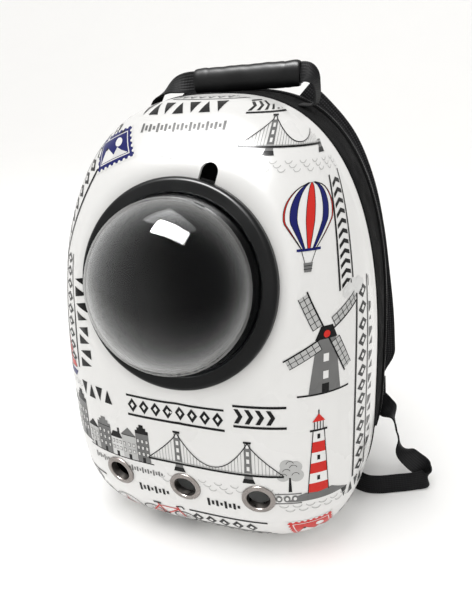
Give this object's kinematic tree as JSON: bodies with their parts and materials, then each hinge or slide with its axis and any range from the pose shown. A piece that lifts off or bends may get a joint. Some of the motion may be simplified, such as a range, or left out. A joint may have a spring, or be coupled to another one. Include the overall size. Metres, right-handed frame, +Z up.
{
  "type": "bubble pet carrier backpack",
  "caption": "Hard-shell pet carrier backpack with a clear dome window in a turning ring, air eyelets, cloth gusset, padded straps and top handle.",
  "frame": {"origin": "on the flat base, under the middle of the shell's crown line", "axes": "+X to the right seen from the front, -Y out of the dome window's side, +Z up"},
  "size_m": [0.424, 0.2745, 0.4458],
  "materials": {
    "shell": "glossy printed shell",
    "piping": "smooth bound edge",
    "gusset": "coarse woven polyester",
    "zip": "moulded zip teeth on tape",
    "slider": "black painted",
    "back": "coarse woven polyester",
    "mesh": "spacer mesh",
    "webbing": "ribbed webbing",
    "grip": "matt synthetic leather",
    "buckle": "moulded",
    "ring": "satin moulded",
    "dome": "clear moulded plastic",
    "eyelet": "gunmetal plated"
  },
  "bodies": {
    "carrier": {"front_shell": "shell", "rim_piping": "piping", "gusset": "gusset", "zipper_chain": "zip", "zipper_slider_upper": "slider", "zipper_slider_lower": "slider", "back_panel": "back", "back_pad": "mesh", "handle_webbing": "webbing", "handle_grip": "grip", "shoulder_strap_left": "mesh", "ladder_lock_left": "buckle", "strap_webbing_left": "webbing", "shoulder_strap_right": "mesh", "ladder_lock_right": "buckle", "strap_webbing_right": "webbing", "window_collar": "ring", "eyelet_left": "eyelet", "eyelet_middle": "eyelet", "eyelet_right": "eyelet"},
    "window": {"window_ring": "ring", "window_dome": "dome"}
  },
  "joints": [
    {"name": "window_turn", "type": "hinge", "parent": "carrier", "child": "window", "pos_m": [0, -0.05957, 0.27402], "axis": [0, -0.9711, 0.2385], "range_deg": [0, 30]}
  ]
}
